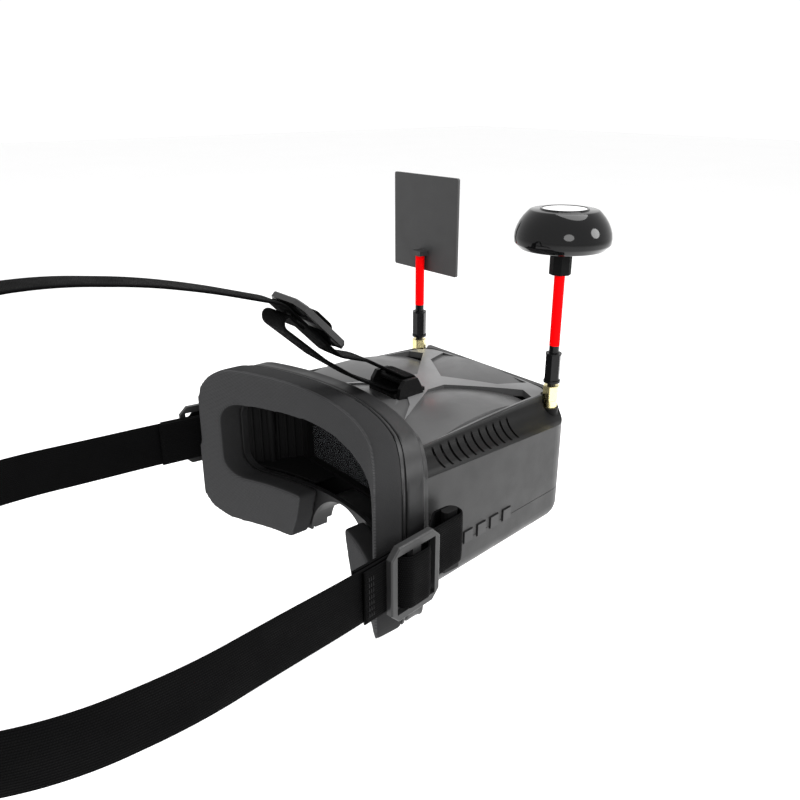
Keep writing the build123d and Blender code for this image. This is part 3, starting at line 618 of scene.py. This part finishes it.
# ---------------------------------------------------------------- webbing humps on the buckles
def bight(name, node, body, origin, x_dir, z_dir, width, front, rear, mirror_x=1):
    """Webbing humped over a buckle's bar, with two bars of stitching on its sewn tail."""
    origin, x_dir, z_dir = Vector(origin), Vector(x_dir), Vector(z_dir)
    y_dir = z_dir.cross(x_dir)
    low = GAP + THICK / 2
    profile = [(front, low), (-9.8, low), (-6.2, 7.2), (6.2, 7.2), (9.8, low), (rear, low)]

    def lay(p, normal, out, across):
        spot = origin + x_dir * (p.x + normal.x * out) + z_dir * (p.y + normal.y * out) + y_dir * across
        return (mirror_x * spot.x, spot.y, spot.z)

    hump = ribbon(name, route(profile, [2.4, 3.4, 3.4, 2.4], 0.8), width, THICK, lay, body)
    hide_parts(node)
    rows = []
    zero = Vector((0, 0))
    for at in (rear - 2.2, rear - 3.4, rear - 4.6):
        start = lay(Vector((at, low + THICK / 2)), zero, 0, -width / 2 + 2.5)
        end = lay(Vector((at, low + THICK / 2)), zero, 0, width / 2 - 2.5)
        rows.append((start, end, (mirror_x * z_dir.x, z_dir.y, z_dir.z)))
    stitches(f"{name}_stitching", rows, body)


middle = Vector((90.3, -2.0)) + run_u * 16.8 + run_n * THICK / 2
for side, name in ((1, "right"), (-1, "left")):
    bight(f"hump_{name}", f"bight_{name}", f"adjuster_{name}", (middle.x, middle.y, STRAP_Z),
          (run_u.x, run_u.y, 0), (run_n.x, run_n.y, 0), WEB - 0.4, -18.5, 27, side)
origin_y, origin_z = on_top(0, THICK / 2)
bight("hump_top", "bight_top", "adjuster_top", (0, origin_y, origin_z), (0, top_u.x, top_u.y),
      (0, top_n.x, top_n.y), TOP_WEB - 0.4, -14.5, 17.5)


# ---------------------------------------------------------------- mushroom antenna
def lathe(name, profile, centre, material, body, around=120):
    """Turned piece from (radius, height) pairs about an upright axis."""
    points = []
    for radius, height in profile:
        for k in range(around):
            angle = 2 * pi * k / around
            points.append((centre[0] + radius * cos(angle), centre[1] + radius * sin(angle), height))
    return piece(name, points, grid_faces(len(profile), around), material, body)


low, high = 112.2, 131.6
profile = [
    (0.01, low), (5, low), (14, low), (20.9, low), (21.4, low + 0.15), (21.8, low + 0.5),
    (23.8, low + 2.5), (24.15, low + 2.9), (24.35, low + 3.4),
]
knots = [
    (24.5, 6.0), (24.1, 8.8), (23.2, 11.4), (22.0, 13.8), (20.4, 16.1), (18.7, 18.0), (17.7, 18.95),
]
profile += [(r, low + h) for r, h in knots]
profile += [
    (17.3, high - 0.15), (16.9, high), (12.8, high), (12.4, high + 0.1), (12.3, high + 0.65),
    (12.1, high + 0.8), (11.4, high + 0.8), (11.2, high + 0.65), (11.15, high + 0.05),
    (10.9, high), (0.01, high),
]
dome = lathe("mushroom_shell", profile, (55, 114.9), dome_gloss, "antenna_right")
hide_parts("mushroom_dome")

# ---------------------------------------------------------------- stage, light and camera
bpy.ops.mesh.primitive_plane_add(size=12, location=(0, 0, -0.16))
floor = bpy.context.object
floor.name = "floor"
pale = Graph("floor_paint", (0.93, 0.93, 0.93), 0.9)
pale.tint(pale.noise(3, 2), 0.99, 1.01)
floor.data.materials.append(pale.mat)

world = bpy.data.worlds.new("studio")
bpy.context.scene.world = world
world.use_nodes = True
world.node_tree.nodes["Background"].inputs["Color"].default_value = (1, 1, 1, 1)
world.node_tree.nodes["Background"].inputs["Strength"].default_value = 1.05


def softbox(name, place, aim, size, power):
    """Round soft area light."""
    data = bpy.data.lights.new(name, "AREA")
    data.shape, data.size, data.energy = "DISK", size, power
    ob = bpy.data.objects.new(name, data)
    bpy.context.scene.collection.objects.link(ob)
    ob.location = place
    ob.rotation_euler = (Vector(aim) - Vector(place)).to_track_quat("-Z", "Y").to_euler()


softbox("overhead", (0.1, 0.35, 1.0), (0.0, 0.05, 0.0), 0.8, 14)
softbox("front_corner", (0.9, 0.7, 0.5), (0.05, 0.08, 0.0), 0.45, 8)
softbox("key_right", (0.9, -0.5, 0.5), (0.05, 0.0, 0.0), 0.45, 5)

eye = bpy.data.cameras.new("camera")
eye.lens, eye.sensor_width = 35, 36
camera = bpy.data.objects.new("camera", eye)
bpy.context.scene.collection.objects.link(camera)
right = Vector((0.63473, 0.77273, 0.0))
up = Vector((-0.28572, 0.23469, 0.92912))
ahead = Vector((-0.71797, 0.58975, -0.36975))
turn = Matrix((right, up, -ahead)).transposed().to_4x4()
camera.matrix_world = Matrix.Translation((0.3086, -0.1998, 0.1867)) @ turn
bpy.context.scene.camera = camera
bpy.context.scene.view_settings.view_transform = "Standard"
